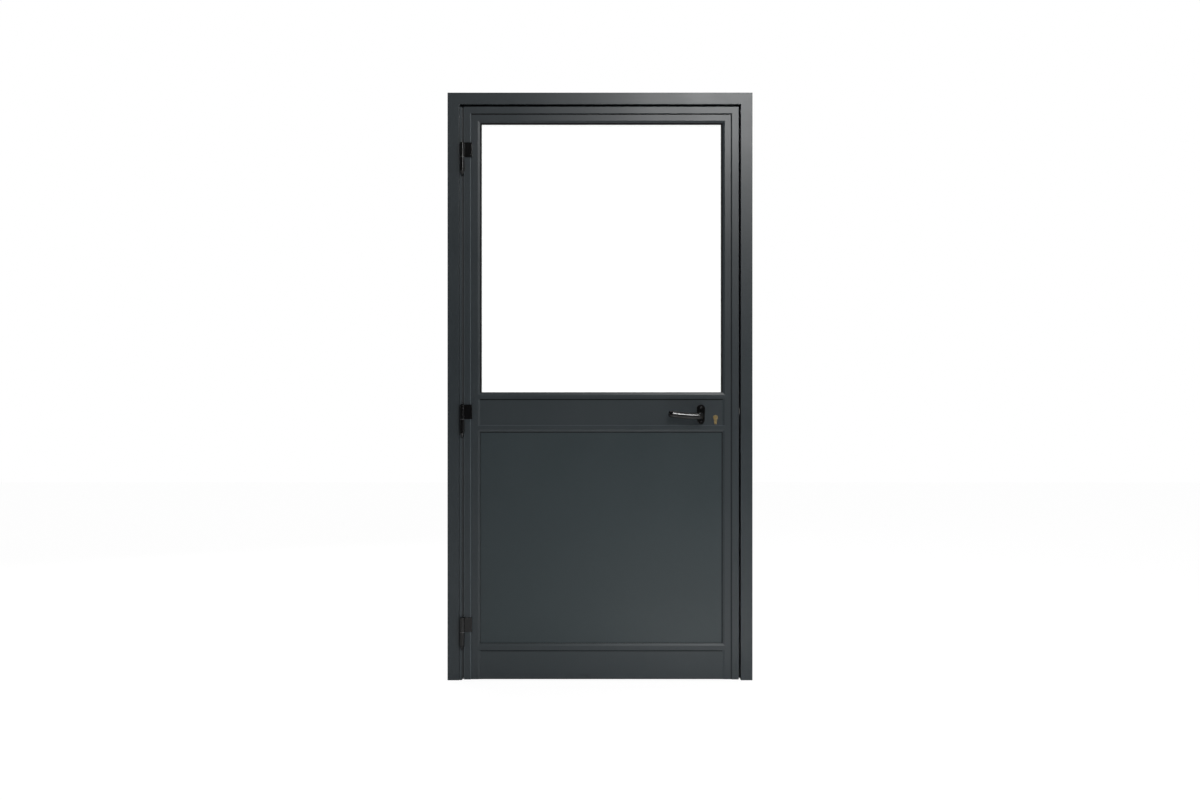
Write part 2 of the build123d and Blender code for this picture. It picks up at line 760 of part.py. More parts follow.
def rail_connectors():
    """Blocks screwed to the stiles that the rail hollows slide over."""
    length = CONNECTOR_LENGTH
    left = LEAF_LEFT + TUBE_WIDTH
    right = LEAF_RIGHT - TUBE_WIDTH
    near = FLAT_FRONT + RAIL_WALL + SEAT_FIT
    far = FLAT_BACK - RAIL_WALL - SEAT_FIT
    low = MID_BOTTOM + LIP_REACH + LEAF_WALL + SEAT_FIT
    high = MID_TOP - UPPER_STRIP - GROOVE_WIDTH - RAIL_WALL - SEAT_FIT
    kick_low = LEAF_BOTTOM + BRUSH_SLOT_DEPTH + RAIL_WALL + SEAT_FIT
    kick_high = KICK_HEIGHT - KICK_STRIP - GROOVE_WIDTH - RAIL_WALL - SEAT_FIT
    behind_case = CASE_THICK / 2 + SEAT_FIT
    clear_of_key = KEY_X + PROFILE_R + 2 * OVER
    return [
        box(left, left + length, near, far, low, high),
        box(left, left + length, near, far, kick_low, kick_high),
        box(right - length, right, near, far, kick_low, kick_high),
        box(clear_of_key, right, behind_case, far, low, high),
    ]


def grow(sight, by):
    x0, x1, z0, z1 = sight
    return x0 - by, x1 + by, z0 - by, z1 + by


def infill(sight, y0, y1):
    x0, x1, z0, z1 = grow(sight, INFILL_COVER)
    return box(x0, x1, y0, y1, z0, z1)


def front_gasket(sight, side_nose, sill_nose, slope):
    """The wedge gasket between the lips and an infill; its nose slopes back where it shows."""
    x0, x1, z0, z1 = sight
    ring = infill(sight, LIP_BACK, INFILL_FRONT)
    inner = Pos((x0 + x1) / 2, 0, (z0 + z1 + sill_nose - side_nose) / 2)
    wide = x1 - x0 - 2 * side_nose
    tall = z1 - z0 - side_nose - sill_nose
    front = inner * Pos(0, LIP_BACK, 0) * Rot(90, 0, 0) * Rectangle(wide + 2 * slope, tall + 2 * slope)
    back = inner * Pos(0, INFILL_FRONT, 0) * Rot(90, 0, 0) * Rectangle(wide, tall)
    return ring - loft([front, back])


def bead_section():
    """A snap-in bead: measured inward from the tube, with a foot along the tube's side."""
    foot = BEAD_SEAT - BEAD_FOOT_DEPTH
    shape = outline(
        (0, BACK),
        (LIP_REACH, BACK),
        (LIP_REACH, BEAD_SEAT),
        (BEAD_FOOT_WIDTH, BEAD_SEAT),
        (BEAD_FOOT_WIDTH, foot),
        (0, foot),
    )
    return soften(shape, [(LIP_REACH, BACK)], BEAD_EDGE_RADIUS)


def beads(sight):
    """Two level beads between the stiles and two upright beads between those."""
    x0, x1, z0, z1 = grow(sight, LIP_REACH)
    section = bead_section()
    wide = x1 - x0
    tall = z1 - z0 - 2 * LIP_REACH
    level = [
        extrusion(section, (x0, 0, z1), (0, 0, -1), (1, 0, 0), wide),
        extrusion(section, (x1, 0, z0), (0, 0, 1), (-1, 0, 0), wide),
    ]
    plumb = [
        extrusion(section, (x0, 0, z0 + LIP_REACH), (1, 0, 0), (0, 0, 1), tall),
        extrusion(section, (x1, 0, z1 - LIP_REACH), (-1, 0, 0), (0, 0, -1), tall),
    ]
    return level, plumb


def setting_blocks(sight):
    """Two packers under the infill, from the rail below it to its lower edge."""
    x0, x1, z0, z1 = sight
    top = z0 - INFILL_COVER
    bottom = z0 - LIP_REACH
    blocks = []
    for start in (x0 + BLOCK_INSET, x1 - BLOCK_INSET - BLOCK_LENGTH):
        end = start + BLOCK_LENGTH
        blocks.append(box(start, end, INFILL_FRONT, INFILL_BACK - BLOCK_TRIM, bottom, top))
    return blocks


def make_glazing():
    nodes["outer_pane"] = infill(GLASS_SIGHT, INFILL_FRONT, INFILL_FRONT + PANE_THICK)
    nodes["inner_pane"] = infill(GLASS_SIGHT, INFILL_BACK - PANE_THICK, INFILL_BACK)
    nodes["glass_spacer"] = border(
        GLASS_SIGHT,
        INFILL_COVER - SPACER_EDGE,
        -SPACER_SINK,
        INFILL_FRONT + PANE_THICK,
        INFILL_BACK - PANE_THICK,
    )
    nodes["lower_panel"] = infill(PANEL_SIGHT, INFILL_FRONT, INFILL_BACK)
    nodes["glass_front_gasket"] = front_gasket(GLASS_SIGHT, GLASS_NOSE, SILL_NOSE, GASKET_SLOPE)
    nodes["panel_front_gasket"] = front_gasket(PANEL_SIGHT, PANEL_NOSE, PANEL_NOSE, 0)
    for name, sight in (("glass", GLASS_SIGHT), ("panel", PANEL_SIGHT)):
        back = border(sight, INFILL_COVER, BACK_NOSE, INFILL_BACK, BEAD_SEAT)
        nodes[name + "_back_gasket"] = back
        level, plumb = beads(sight)
        nodes[name + "_bead_top"] = level[0]
        nodes[name + "_bead_bottom"] = level[1]
        nodes[name + "_side_beads"] = Compound(plumb)
    nodes["setting_blocks"] = Compound(setting_blocks(GLASS_SIGHT) + setting_blocks(PANEL_SIGHT))
    slot = BRUSH_SLOT_WIDTH / 2 - SEAT_FIT
    x0 = LEAF_LEFT + TUBE_WIDTH
    x1 = LEAF_RIGHT - TUBE_WIDTH
    carrier = box(x0, x1, -slot, slot, LEAF_BOTTOM, LEAF_BOTTOM + BRUSH_SLOT_DEPTH - SEAT_FIT)
    bristles = box(x0, x1, -slot / 2, slot / 2, BRUSH_FLOOR_GAP, LEAF_BOTTOM)
    nodes["floor_brush"] = carrier + bristles


def leaf_plate_screw_points(z):
    """Screw centres of one leaf hinge plate, on the outer band and hidden behind the plate."""
    x = LEAF_LEFT + BAND_WIDTH / 2
    middle = z + WASHER_THICK / 2 + UPPER_KNUCKLE / 2
    return [(x, middle - HINGE_SCREW_SPREAD), (x, middle + HINGE_SCREW_SPREAD)]


def clamp_screw_tip():
    """Depth of the clamp screws' ends, inside the leaf plate."""
    return FRONT - 0.8 * LEAF_PLATE_THICK


def make_hinge(name, z):
    """A lift-off hinge: the lower knuckle on the frame, the upper one with its leaf plate."""
    lower_top = z - WASHER_THICK / 2
    lower_bottom = lower_top - LOWER_KNUCKLE
    edge = KNUCKLE_EDGE
    profile = outline(
        (0, lower_bottom - FINIAL_LENGTH),
        (FINIAL_TIP_R, lower_bottom - FINIAL_LENGTH),
        (KNUCKLE_R - edge, lower_bottom),
        (KNUCKLE_R, lower_bottom + edge),
        (KNUCKLE_R, lower_top),
        (0, lower_top),
    )
    lower = Pos(HINGE_X, HINGE_Y, 0) * revolve(Plane.XZ * profile, Axis.Z)
    lower += box(
        FILLER_FACE,
        FILLER_FACE + HINGE_PLATE,
        HINGE_Y,
        HINGE_Y + HINGE_PLATE_BACK,
        lower_bottom + edge,
        lower_top,
    )
    lower -= rod_z(HINGE_X, HINGE_Y, PIN_R, lower_top - PIN_BELOW, lower_top + OVER)
    for hole in hinge_plate_screws(
        z, HINGE_SCREW_R + SCREW_FIT, 2 * HINGE_SCREW_R + SCREW_FIT, HINGE_SCREW_LENGTH
    ):
        lower -= hole

    upper_bottom = z + WASHER_THICK / 2 + PIN_CLEARANCE
    upper_top = upper_bottom + UPPER_KNUCKLE
    profile = outline(
        (0, upper_bottom),
        (KNUCKLE_R, upper_bottom),
        (KNUCKLE_R, upper_top - edge),
        (KNUCKLE_R - edge, upper_top),
        (0, upper_top),
    )
    upper = Pos(HINGE_X, HINGE_Y, 0) * revolve(Plane.XZ * profile, Axis.Z)
    plate = box(
        HINGE_X,
        LEAF_LEFT + LEAF_PLATE_END,
        FRONT - LEAF_PLATE_THICK,
        FRONT,
        upper_bottom + LEAF_PLATE_TRIM,
        upper_top - LEAF_PLATE_TRIM,
    )
    plate += box(
        LEAF_LEFT + BAND_WIDTH,
        LEAF_LEFT + LEAF_PLATE_END,
        FRONT - LEAF_PLATE_THICK,
        INNER_BAND,
        upper_bottom + LEAF_PLATE_TRIM,
        upper_top - LEAF_PLATE_TRIM,
    )
    ends = plate.edges().filter_by(Axis.Z).sort_by(Axis.X)[-2:]
    plate = fillet(ends.sort_by(Axis.Y)[:1], KNUCKLE_EDGE)
    upper += plate
    bore = PIN_R + PIN_CLEARANCE
    upper -= rod_z(HINGE_X, HINGE_Y, bore, upper_bottom - OVER, z + PIN_ABOVE + OVER)
    for x, level in leaf_plate_screw_points(z):
        upper -= rod_y(x, level, HINGE_SCREW_R, clamp_screw_tip(), FRONT + OVER)

    nodes["hinge_lower_" + name] = lower
    nodes["hinge_upper_" + name] = upper


def make_hinges():
    pins = []
    washers = []
    clamps = []
    clamp_screws = []
    frame_screws = []
    inner_face = FRONT + LEAF_WALL
    clamp_x = LEAF_LEFT + BAND_WIDTH / 2
    for name, z in zip(HINGE_NAMES, HINGE_HEIGHTS):
        make_hinge(name, z)
        seat = z - WASHER_THICK / 2
        pins.append(rod_z(HINGE_X, HINGE_Y, PIN_R, seat - PIN_BELOW, z + PIN_ABOVE))
        ring = rod_z(HINGE_X, HINGE_Y, KNUCKLE_R, seat, seat + WASHER_THICK)
        hole = rod_z(HINGE_X, HINGE_Y, PIN_R, seat - OVER, seat + WASHER_THICK + OVER)
        washers.append(ring - hole)
        middle = z + WASHER_THICK / 2 + UPPER_KNUCKLE / 2
        clamp = box(
            clamp_x - CLAMP_WIDTH / 2,
            clamp_x + CLAMP_WIDTH / 2,
            inner_face,
            inner_face + CLAMP_THICK,
            middle - CLAMP_LENGTH / 2,
            middle + CLAMP_LENGTH / 2,
        )
        for x, level in leaf_plate_screw_points(z):
            head_y = inner_face + CLAMP_THICK
            radius = HINGE_SCREW_R + SCREW_FIT
            clamp -= rod_y(x, level, radius, inner_face - OVER, head_y + OVER)
            shank = rod_y(x, level, HINGE_SCREW_R, clamp_screw_tip(), head_y)
            head = rod_y(x, level, 2 * HINGE_SCREW_R, head_y, head_y + HINGE_SCREW_R)
            clamp_screws.append(shank + head)
        clamps.append(clamp)
        frame_screws += hinge_plate_screws(z, HINGE_SCREW_R, 2 * HINGE_SCREW_R, HINGE_SCREW_LENGTH)
    nodes["hinge_pins"] = Compound(pins)
    nodes["hinge_washers"] = Compound(washers)
    nodes["hinge_clamp_plates"] = Compound(clamps)
    nodes["hinge_clamp_screws"] = Compound(clamp_screws)
    nodes["frame_hinge_screws"] = Compound(frame_screws)


def rose_blank(y0, y1):
    """A narrow plate with round ends, a little slimmer at the bottom."""
    top = Pos(0, ROSE_HEIGHT / 2 - ROSE_TOP_R) * Circle(ROSE_TOP_R)
    bottom = Pos(0, ROSE_BOTTOM_R - ROSE_HEIGHT / 2) * Circle(ROSE_BOTTOM_R)
    face = make_hull(top.edges() + bottom.edges())
    placed = Plane((SPINDLE_X, y0, ROSE_Z), x_dir=(1, 0, 0), z_dir=(0, -1, 0)) * face
    return extrude(placed, amount=y1 - y0, dir=(0, 1, 0))


def make_rose(side):
    """side is -1 for the front and +1 for the back; the back rose takes the screw heads."""
    base = side * FLAT_BACK
    face = base + side * ROSE_THICK
    rose = rose_blank(*sorted((base, face)))
    rim = [e for e in rose.edges() if abs(e.center().Y - face) < 0.01]
    rose = chamfer(rim, ROSE_EDGE)
    bore = NECK_R + PLUG_FIT
    ends = sorted((base - side * OVER, face + side * OVER))
    rose -= rod_y(SPINDLE_X, SPINDLE_Z, bore, *ends)
    if side < 0:
        for z in ROSE_SCREW_Z:
            rose -= rod_y(SPINDLE_X, z, ROSE_SCREW_R, face + ROSE_FLOOR, base + OVER)
    else:
        for hole in rose_screws(SCREW_FIT):
            rose -= hole
    return rose


def rose_screws(extra):
    """The two screws that clamp the roses together through the rail and the lock."""
    face = FLAT_BACK + ROSE_THICK
    length = 2 * face - ROSE_FLOOR
    radius = ROSE_SCREW_R + extra
    head_r = 2 * ROSE_SCREW_R + extra
    return [
        countersunk((SPINDLE_X, face, z), (0, -1, 0), radius, head_r, length) for z in ROSE_SCREW_Z
    ]


def make_lever(side):
    """A lever swept from its neck through an elbow and a long rising arc to its returned tip."""
    face = side * (FLAT_BACK + ROSE_THICK)
    root = face + side * LEVER_ROOM
    outer = side * (FLAT_BACK + LEVER_PROJECTION - LEVER_THICK / 2)
    elbow = Vector(SPINDLE_X - LEVER_BEND, outer, SPINDLE_Z)
    run = LEVER_REACH - LEVER_THICK / 2 - LEVER_BEND - LEVER_TIP_BEND
    arm_end = elbow + Vector(-run, 0, LEVER_RISE)
    neck = Line((SPINDLE_X, root, SPINDLE_Z), (SPINDLE_X, outer - side * LEVER_BEND, SPINDLE_Z))
    bend = TangentArc(neck @ 1, elbow, tangent=neck % 1)
    arm = TangentArc(elbow, arm_end, tangent=(-1, 0, 0))
    heading = arm % 1
    turned = arm_end + heading * LEVER_TIP_BEND - Vector(0, side * LEVER_TIP_BEND, 0)
    tip_bend = TangentArc(arm_end, turned, tangent=heading)
    tip = Line(turned, turned - Vector(0, side * (LEVER_RETURN - LEVER_TIP_BEND), 0))
    path = Wire([neck.edge(), bend.edge(), arm.edge(), tip_bend.edge(), tip.edge()])
    start = Plane(neck @ 0, x_dir=(1, 0, 0), z_dir=(0, side, 0))
    lever = sweep(start * Ellipse(LEVER_THICK / 2, LEVER_HEIGHT / 2), path=path)
    lever += rod_y(SPINDLE_X, SPINDLE_Z, COLLAR_R, *sorted((face, face + side * COLLAR_LENGTH)))
    sleeve_start = side * FLAT_BACK
    lever += rod_y(SPINDLE_X, SPINDLE_Z, NECK_R, *sorted((sleeve_start, root)))
    half = SPINDLE_SIDE / 2 + SPINDLE_FIT
    socket = sorted((sleeve_start - side * OVER, spindle_end(side)))
    return lever - box(
        SPINDLE_X - half, SPINDLE_X + half, *socket, SPINDLE_Z - half, SPINDLE_Z + half
    )


def spindle_end(side):
    return side * (FLAT_BACK + ROSE_THICK + SPINDLE_SOCKET)


def make_handles():
    nodes["front_rose"] = make_rose(-1)
    nodes["back_rose"] = make_rose(1)
    nodes["rose_screws"] = Compound(rose_screws(0))
    front = make_lever(-1)
    back = make_lever(1)
    grubs = []
    for side in (-1, 1):
        y = side * (FLAT_BACK + ROSE_THICK + COLLAR_LENGTH / 2)
        bottom = SPINDLE_Z - COLLAR_R
        top = SPINDLE_Z - SPINDLE_SIDE / 2 - SPINDLE_FIT
        hole = rod_z(SPINDLE_X, y, SMALL_SCREW_R, bottom - OVER, top)
        if side < 0:
            front -= hole
        else:
            back -= hole
        grubs.append(rod_z(SPINDLE_X, y, SMALL_SCREW_R, bottom + GRUB_SINK, top))
    nodes["front_lever"] = front
    nodes["back_lever"] = back
    nodes["lever_grub_screws"] = Compound(grubs)
    half = SPINDLE_SIDE / 2
    nodes["spindle"] = box(
        SPINDLE_X - half,
        SPINDLE_X + half,
        spindle_end(-1),
        spindle_end(1),
        SPINDLE_Z - half,
        SPINDLE_Z + half,
    )


def make_lock():
    x0, x1, y0, y1, z0, z1 = case_bounds()
    wall = CASE_WALL
    cover_y = y1 - wall
    inner_y = y0 + wall
    case = box(x0, x1, y0, cover_y, z0, z1)
    case -= box(x0 + wall, x1 - wall, inner_y, cover_y + OVER, z0 + wall, z1 - wall)
    case -= bolt_slots(x1 - wall - OVER, x1 + OVER)
    cover = box(x0, x1, cover_y, y1, z0, z1)
    openings = [
        rod_y(SPINDLE_X, SPINDLE_Z, JOURNAL_R + JOURNAL_FIT, y0 - OVER, y1 + OVER),
        profile_blank(y0 - OVER, y1 + OVER, PROFILE_FIT),
    ]
    for z in ROSE_SCREW_Z:
        openings.append(rod_y(SPINDLE_X, z, ROSE_SCREW_R + SEAT_FIT, y0 - OVER, y1 + OVER))
    openings += face_holes()
    for hole in openings:
        case -= hole
        cover -= hole
    nodes["lock_case"] = case
    nodes["lock_cover"] = cover

    plate = box(
        LEAF_RIGHT,
        FACEPLATE_FRONT,
        -FACEPLATE_WIDTH / 2,
        FACEPLATE_WIDTH / 2,
        STRIKE_Z - FACEPLATE_HEIGHT / 2,
        STRIKE_Z + FACEPLATE_HEIGHT / 2,
    )
    plate -= bolt_slots(LEAF_RIGHT - OVER, FACEPLATE_FRONT + OVER)
    for hole in face_holes():
        plate -= hole
    nodes["lock_faceplate"] = plate
    nodes["faceplate_screws"] = Compound(
        plate_screws(FACEPLATE_FRONT, (-1, 0, 0), STRIKE_Z, FACEPLATE_HEIGHT, FACE_SCREW_LENGTH)
    )
    nodes["cylinder_screw"] = cylinder_screw(SMALL_SCREW_R, SMALL_HEAD_R)

    reach = CASE_THICK / 2 - CASE_WALL - MOVING_GAP
    follower = rod_y(SPINDLE_X, SPINDLE_Z, FOLLOWER_R, -reach, reach)
    follower += rod_y(SPINDLE_X, SPINDLE_Z, JOURNAL_R, -CASE_THICK / 2, CASE_THICK / 2)
    arm = ARM_WIDTH / 2
    follower += box(
        SPINDLE_X - arm, SPINDLE_X + arm, -arm, arm, SPINDLE_Z, SPINDLE_Z + ARM_REACH
    )
    half = SPINDLE_SIDE / 2 + SPINDLE_FIT
    follower -= box(
        SPINDLE_X - half,
        SPINDLE_X + half,
        -CASE_THICK,
        CASE_THICK,
        SPINDLE_Z - half,
        SPINDLE_Z + half,
    )
    nodes["lock_follower"] = follower

    tip = FACEPLATE_FRONT + LATCH_PROJECTION
    thick = LATCH_THICK / 2
    low = LATCH_Z - LATCH_HEIGHT / 2
    high = LATCH_Z + LATCH_HEIGHT / 2
    nose = Plane.XY * outline(
        (tip - LATCH_HEAD, -thick),
        (tip, -thick),
        (tip, -thick + LATCH_NOSE),
        (tip - LATCH_BEVEL, thick),
        (tip - LATCH_HEAD, thick),
    )
    latch = Pos(0, 0, low) * extrude(nose, amount=LATCH_HEIGHT, dir=(0, 0, 1))
    hook_x = SPINDLE_X - arm - HOOK_GAP
    hook_z = SPINDLE_Z + FOLLOWER_R + FOLLOWER_ROOM
    bar_z = SPINDLE_Z + ARM_REACH + ARM_ROOM
    bar_top = bar_z + LATCH_BAR
    latch += box(hook_x - LATCH_BAR, tip - LATCH_HEAD + OVER, -arm, arm, bar_z, bar_top)
    latch += box(hook_x - LATCH_BAR, hook_x, -arm, arm, hook_z, bar_top)
    nodes["latch"] = latch

    bolt_tip = FACEPLATE_FRONT - BOLT_SINK
    nodes["dead_bolt"] = box(
        bolt_tip - BOLT_THROW - BOLT_GUIDE,
        bolt_tip,
        -thick,
        thick,
        BOLT_Z - BOLT_HEIGHT / 2,
        BOLT_Z + BOLT_HEIGHT / 2,
    )


def make_cylinder():
    """The profile cylinder and, turning in it, the plugs joined to their cam."""
    end = FLAT_BACK + PROFILE_PROUD
    body = profile_blank(-end, end, 0)
    slot = CAM_HALF + SEAT_FIT
    body -= rod_y(KEY_X, KEY_Z, CAM_R + OVER, -slot, slot)
    body -= rod_y(KEY_X, KEY_Z, PLUG_R + PLUG_FIT, -end - OVER, end + OVER)
    body -= rod_x(0, CYLINDER_SCREW_Z, SMALL_SCREW_R, KEY_X - PROFILE_R, KEY_X + PROFILE_R)
    nodes["cylinder_body"] = body

    plug = rod_y(KEY_X, KEY_Z, PLUG_R, -end, end)
    plug += rod_y(KEY_X, KEY_Z, CAM_HUB_R, -CAM_HALF, CAM_HALF)
    half = CAM_WIDTH / 2
    nose = box(KEY_X - half, KEY_X + half, -CAM_HALF, CAM_HALF, KEY_Z - CAM_R, KEY_Z)
    nose &= rod_y(KEY_X, KEY_Z, CAM_R, -CAM_HALF, CAM_HALF)
    plug += nose
    for side in (-1, 1):
        depth = sorted((side * (end + OVER), side * (end - KEYWAY_DEPTH)))
        plug -= box(
            KEY_X - KEYWAY_WIDTH / 2,
            KEY_X + KEYWAY_WIDTH / 2,
            *depth,
            KEY_Z - KEYWAY_DROP - KEYWAY_HEIGHT / 2,
            KEY_Z - KEYWAY_DROP + KEYWAY_HEIGHT / 2,
        )
    nodes["key_plug"] = plug


make_frame()
make_leaf_profiles()
make_glazing()
make_hinges()
make_handles()
make_lock()
make_cylinder()

os.makedirs("parts", exist_ok=True)
for name, shape in nodes.items():
    export_step(shape, os.path.join("parts", name + ".step"))
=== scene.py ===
"""Dresses the glass door's solids, adds its small seals and caps, and sets up studio and camera."""

import json
import math
from collections import namedtuple

import bpy
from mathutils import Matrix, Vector


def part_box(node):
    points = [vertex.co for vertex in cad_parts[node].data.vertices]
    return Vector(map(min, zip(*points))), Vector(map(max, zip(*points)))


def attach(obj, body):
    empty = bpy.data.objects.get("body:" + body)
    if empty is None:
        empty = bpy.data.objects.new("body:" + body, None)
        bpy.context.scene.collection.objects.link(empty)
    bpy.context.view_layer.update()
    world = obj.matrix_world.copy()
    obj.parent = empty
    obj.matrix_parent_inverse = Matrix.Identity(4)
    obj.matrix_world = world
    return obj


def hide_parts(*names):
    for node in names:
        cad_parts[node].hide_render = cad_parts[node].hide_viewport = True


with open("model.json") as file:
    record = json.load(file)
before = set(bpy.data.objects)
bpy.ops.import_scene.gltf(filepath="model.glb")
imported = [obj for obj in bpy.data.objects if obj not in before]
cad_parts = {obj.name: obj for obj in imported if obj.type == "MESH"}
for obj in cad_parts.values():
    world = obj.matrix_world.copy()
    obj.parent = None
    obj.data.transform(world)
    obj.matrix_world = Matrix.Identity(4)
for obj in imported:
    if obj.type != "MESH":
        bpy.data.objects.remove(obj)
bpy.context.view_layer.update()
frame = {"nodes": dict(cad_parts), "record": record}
nodes = frame["nodes"]

# Lengths are in metres, apart from the sensor's width, which is in mm.

# The photo's frame, and the real size of one of its pixels at the door's face
PHOTO_WIDTH = 1200
PHOTO_HEIGHT = 800
PIXEL = 0.003573
FLOOR_LINE_ROW = 680.3
CAMERA_DISTANCE = 5.0
SENSOR_WIDTH = 36.0

# Powder coat and lacquer: two noises that drift in tone, the slow one's pull on the gloss, and the
# height of the orange peel
SLOW_NOISE_SCALE = 5.0
SLOW_NOISE_DETAIL = 3.0
SLOW_SHARE = 0.7
FINE_NOISE_SCALE = 60.0
FINE_NOISE_DETAIL = 2.0
FINE_SHARE = 0.3
GLOSS_PULL = 0.12
PEEL_DETAIL = 1.0
PEEL_HEIGHT = 0.0006

# Drawn metal: the stretch of its streaks, and their relief
STREAK_STRETCH = (60.0, 1800.0, 1800.0)
STREAK_DETAIL = 2.0
STREAK_RELIEF = 0.08
STREAK_HEIGHT = 0.0003

# Where the painted lines of shade and highlight lie, measured from an edge of their own piece
PANEL_SHADE_LINE = 0.0135
HINGE_STILE_EDGE = 0.0012
HINGE_STILE_STEP = 0.0236
FILLER_GROOVE = 0.0045
TOP_RAIL_STEP = 0.0268
LOCK_STILE_STEP = 0.0266
MID_RAIL_STEP = 0.0247
MID_RAIL_LOWER_STEP = 0.0226
KICK_STEP = 0.0266

# The fin seal of the hinge-side joint: how far behind the leaf's face it lies, its thickness and
# rounding, and what it leaves free at the hinges, the ends and the leaf
GAP_SEAL_DEPTH = 0.0045
GAP_SEAL_THICK = 0.0016
GAP_SEAL_EDGE = 0.0004
GAP_SEAL_HINGE_ROOM = 0.002
GAP_SEAL_FOOT_ROOM = 0.004
GAP_SEAL_HEAD_ROOM = 0.003
GAP_SEAL_GRIP = 0.0003
GAP_SEAL_LEAF_ROOM = 0.0007

# The screw caps of the roses
CAP_RADIUS = 0.0042
CAP_DEPTH = 0.0022
CAP_SEGMENTS = 24
CAP_BELOW = 0.0235
CAP_ABOVE = 0.0245
CAP_RIM = 0.0013
CAP_SLOPE = 0.0008
CAP_DISH = 0.0005
CAP_ROUNDING = 0.0004
CAP_EDGE_ANGLE = math.radians(40.0)
CAP_SMOOTH_ANGLE = math.radians(35.0)
CAP_FACING = 0.9

# The pile of the brush seal: its tufts, and where the rows lie, as shares of the brush's width and
# of the pitch
TUFT_PITCH = 0.0016
TUFT_ROWS = 3
TUFT_LENGTH = 0.0045
TUFT_SIDES = 6
TUFT_FOOT = 0.0011
TUFT_TIP = 0.0006
TUFT_OVERLAP = 0.0005
TUFT_FIRST_ROW = 0.2
TUFT_ROW_STEP = 0.3
TUFT_FIRST_SHIFT = 0.6
TUFT_SHIFT_STEP = 0.33
BRUSH_STRIP_EDGE = 0.0004

# The studio's level all round, its rise to the right and upwards, what is left of it in front, and
# what is left of it in mirrored rays
WORLD_LEVEL = 0.30
WORLD_SIDE = 0.20
WORLD_LIFT = 0.08
WORLD_FRONT = 0.03
WORLD_MIRRORED = 0.45

# The directions, as y, where the dark front ends and where the mirrored white back starts
FRONT_DARK = -0.88
FRONT_CLEAR = -0.45
BACK_WHITE = 0.25

# What the white behind gains on its way through the glass, to stay white there
GLASS_LOSS = 0.12

# The floor, and the white glow mixed into it for the rays that show it
FLOOR_SIZE = 24.0
FLOOR_TONE = 0.70
FLOOR_ROUGHNESS = 0.9
FLOOR_GLOW = 1.3
FLOOR_GLOW_SHARE = 0.7

FLOAT = "NodeSocketFloat"
COLOUR = "NodeSocketColor"
VECTOR = "NodeSocketVector"

# The sockets of a Mix node's two numbers
MIX_A = 2
MIX_B = 3

# A painted line across a piece's front at one place on an axis: a positive darkness paints shade, a
# negative one paints a highlight
Line = namedtuple("Line", "axis centre half_width darkness")


def feed(tree, socket, value):
    """Set an input to a value, or link it to another node's output."""
    if isinstance(value, bpy.types.NodeSocket):
        tree.links.new(value, socket)
    else:
        socket.default_value = value


def math_node(tree, operation, *values):
    """A Math node; values are numbers or sockets in order."""
    node = tree.nodes.new("ShaderNodeMath")
    node.operation = operation
    for i, value in enumerate(values):
        feed(tree, node.inputs[i], value)
    return node.outputs[0]


def noise_node(tree, vector, scale, detail):
    node = tree.nodes.new("ShaderNodeTexNoise")
    feed(tree, node.inputs["Scale"], scale)
    feed(tree, node.inputs["Detail"], detail)
    feed(tree, node.inputs["Vector"], vector)
    return node.outputs["Fac"]


def bump_node(tree, height, strength, distance):
    node = tree.nodes.new("ShaderNodeBump")
    feed(tree, node.inputs["Strength"], strength)
    feed(tree, node.inputs["Distance"], distance)
    feed(tree, node.inputs["Height"], height)
    return node.outputs["Normal"]


def scaled_colour(tree, colour, factor):
    node = tree.nodes.new("ShaderNodeVectorMath")
    node.operation = "SCALE"
    feed(tree, node.inputs[0], colour)
    feed(tree, node.inputs["Scale"], factor)
    return node.outputs[0]


def new_group(name, inputs, outputs):
    """A node group; returns it, what it is given, what it puts out, and Object coordinates."""
    group = bpy.data.node_groups.new(name, "ShaderNodeTree")
    for label, kind, value in inputs:
        socket = group.interface.new_socket(label, in_out="INPUT", socket_type=kind)
        socket.default_value = value
    for label, kind in outputs:
        group.interface.new_socket(label, in_out="OUTPUT", socket_type=kind)
    given = group.nodes.new("NodeGroupInput").outputs
    result = group.nodes.new("NodeGroupOutput").inputs
    place = group.nodes.new("ShaderNodeTexCoord").outputs["Object"]
    return group, given, result, place


def use_group(tree, group, values):
    """The outputs of a node group laid into a material, with its inputs set or linked by name."""
    node = tree.nodes.new("ShaderNodeGroup")
    node.node_tree = group
    for label, value in values.items():
        feed(tree, node.inputs[label], value)
    return node.outputs


def coat_grain_group():
    """Powder coat: fine orange peel as a normal, and slow drifts of tone and of gloss."""
    group, given, result, place = new_group(
        "coat_grain",
        (
            ("Colour", COLOUR, (0.05, 0.05, 0.05, 1.0)),
            ("Drift", FLOAT, 0.1),
            ("Gloss", FLOAT, 0.35),
            ("Peel Size", FLOAT, 450.0),
            ("Peel Depth", FLOAT, 0.1),
        ),
        (("Colour", COLOUR), ("Roughness", FLOAT), ("Normal", VECTOR)),
    )
    slow = noise_node(group, place, SLOW_NOISE_SCALE, SLOW_NOISE_DETAIL)
    fine = noise_node(group, place, FINE_NOISE_SCALE, FINE_NOISE_DETAIL)
    tone = math_node(
        group,
        "ADD",
        math_node(group, "MULTIPLY", slow, SLOW_SHARE),
        math_node(group, "MULTIPLY", fine, FINE_SHARE),
    )
    swing = math_node(group, "MULTIPLY", math_node(group, "SUBTRACT", tone, 0.5), given["Drift"])
    bright = math_node(group, "ADD", math_node(group, "MULTIPLY", swing, 2.0), 1.0)
    feed(group, result["Colour"], scaled_colour(group, given["Colour"], bright))
    pull = math_node(group, "MULTIPLY", math_node(group, "SUBTRACT", slow, 0.5), GLOSS_PULL)
    feed(group, result["Roughness"], math_node(group, "ADD", given["Gloss"], pull))
    peel = noise_node(group, place, given["Peel Size"], PEEL_DETAIL)
    feed(group, result["Normal"], bump_node(group, peel, given["Peel Depth"], PEEL_HEIGHT))
    return group


